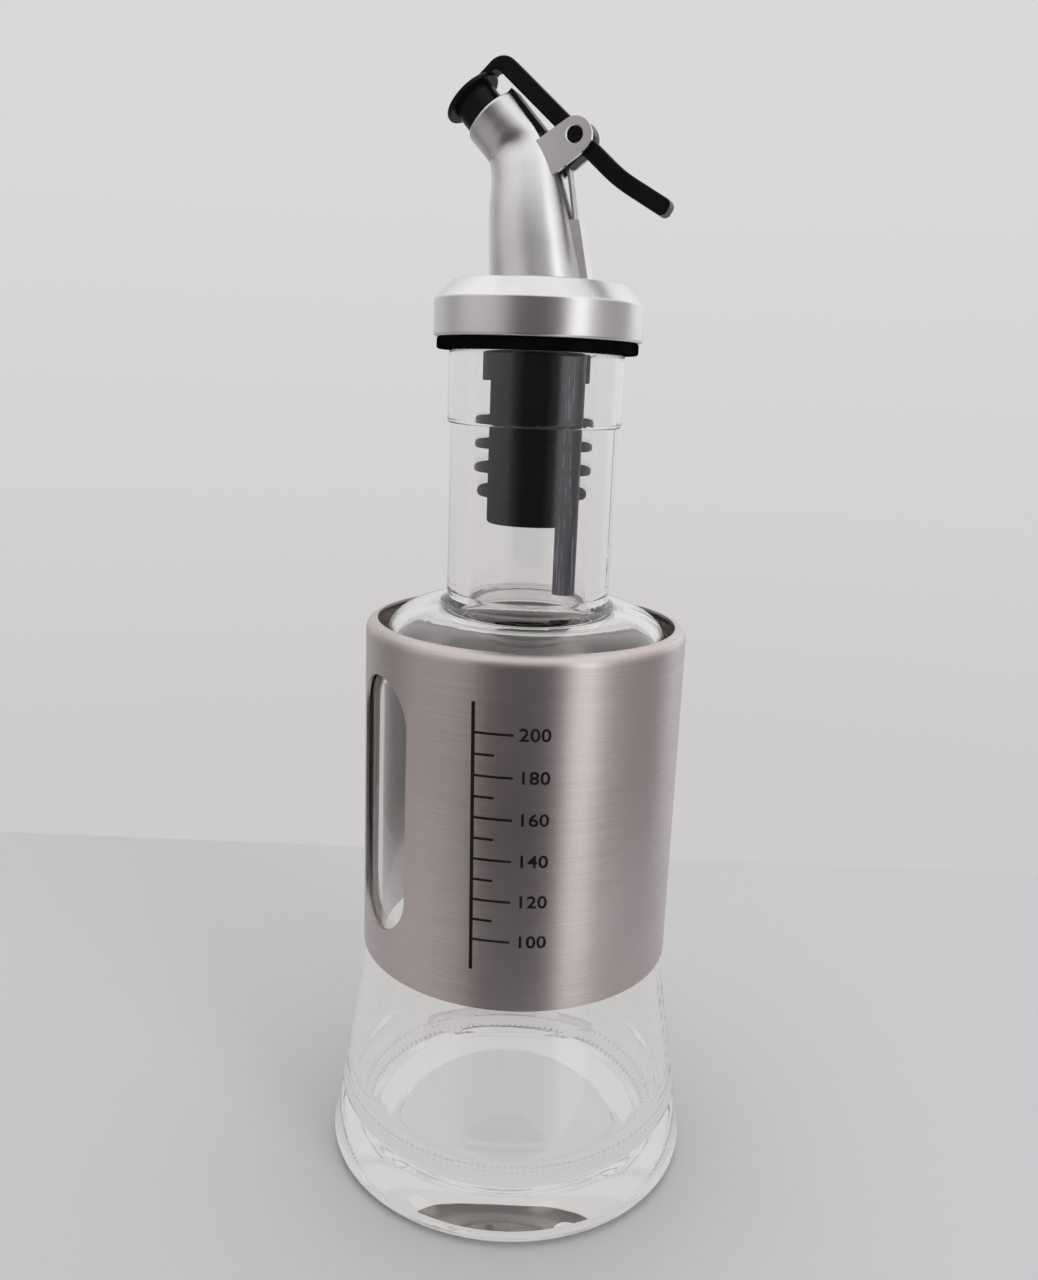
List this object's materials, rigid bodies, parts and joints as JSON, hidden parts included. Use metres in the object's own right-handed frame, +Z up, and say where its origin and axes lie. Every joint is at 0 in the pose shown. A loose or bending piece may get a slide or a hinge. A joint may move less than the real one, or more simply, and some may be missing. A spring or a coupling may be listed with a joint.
{
  "type": "oil dispenser bottle",
  "caption": "Flared clear glass oil bottle in a windowed brushed steel sleeve, closed by a ribbed stopper with a curved pouring spout and a sprung lever cover.",
  "frame": {"origin": "centre of the base, on the surface the bottle stands on", "axes": "+Z up along the bottle's axis, -Y towards the front with the printed scale, +X to the front's right"},
  "size_m": [0.0716, 0.0714, 0.2057],
  "materials": {
    "clear_glass": "polished",
    "brushed_steel": "brushed",
    "black_rubber": "satin",
    "tube_plastic": "gloss",
    "satin_metal": "satin",
    "black_plastic": "gloss",
    "spring_steel": "satin",
    "pin_metal": "black"
  },
  "bodies": {
    "bottle": {"glass_bottle": "clear_glass", "steel_sleeve": "brushed_steel", "stopper": "black_rubber", "vent_tube": "tube_plastic", "cap_disc": "satin_metal", "spout_horn": "satin_metal", "spout_liner": "black_plastic", "leaf_spring": "spring_steel"},
    "lever": {"lever": "black_plastic", "lever_seal": "black_plastic", "pivot_pin": "pin_metal"}
  },
  "joints": [
    {"name": "lever_hinge", "type": "hinge", "parent": "bottle", "child": "lever", "pos_m": [0.00564, -0.00183, 0.19264], "axis": [0.309, 0.9511, 0], "range_deg": [0, 25], "stiffness_Nm_per_rad": 0.06, "springref_deg": -20.05, "deforming": ["leaf_spring"]}
  ]
}
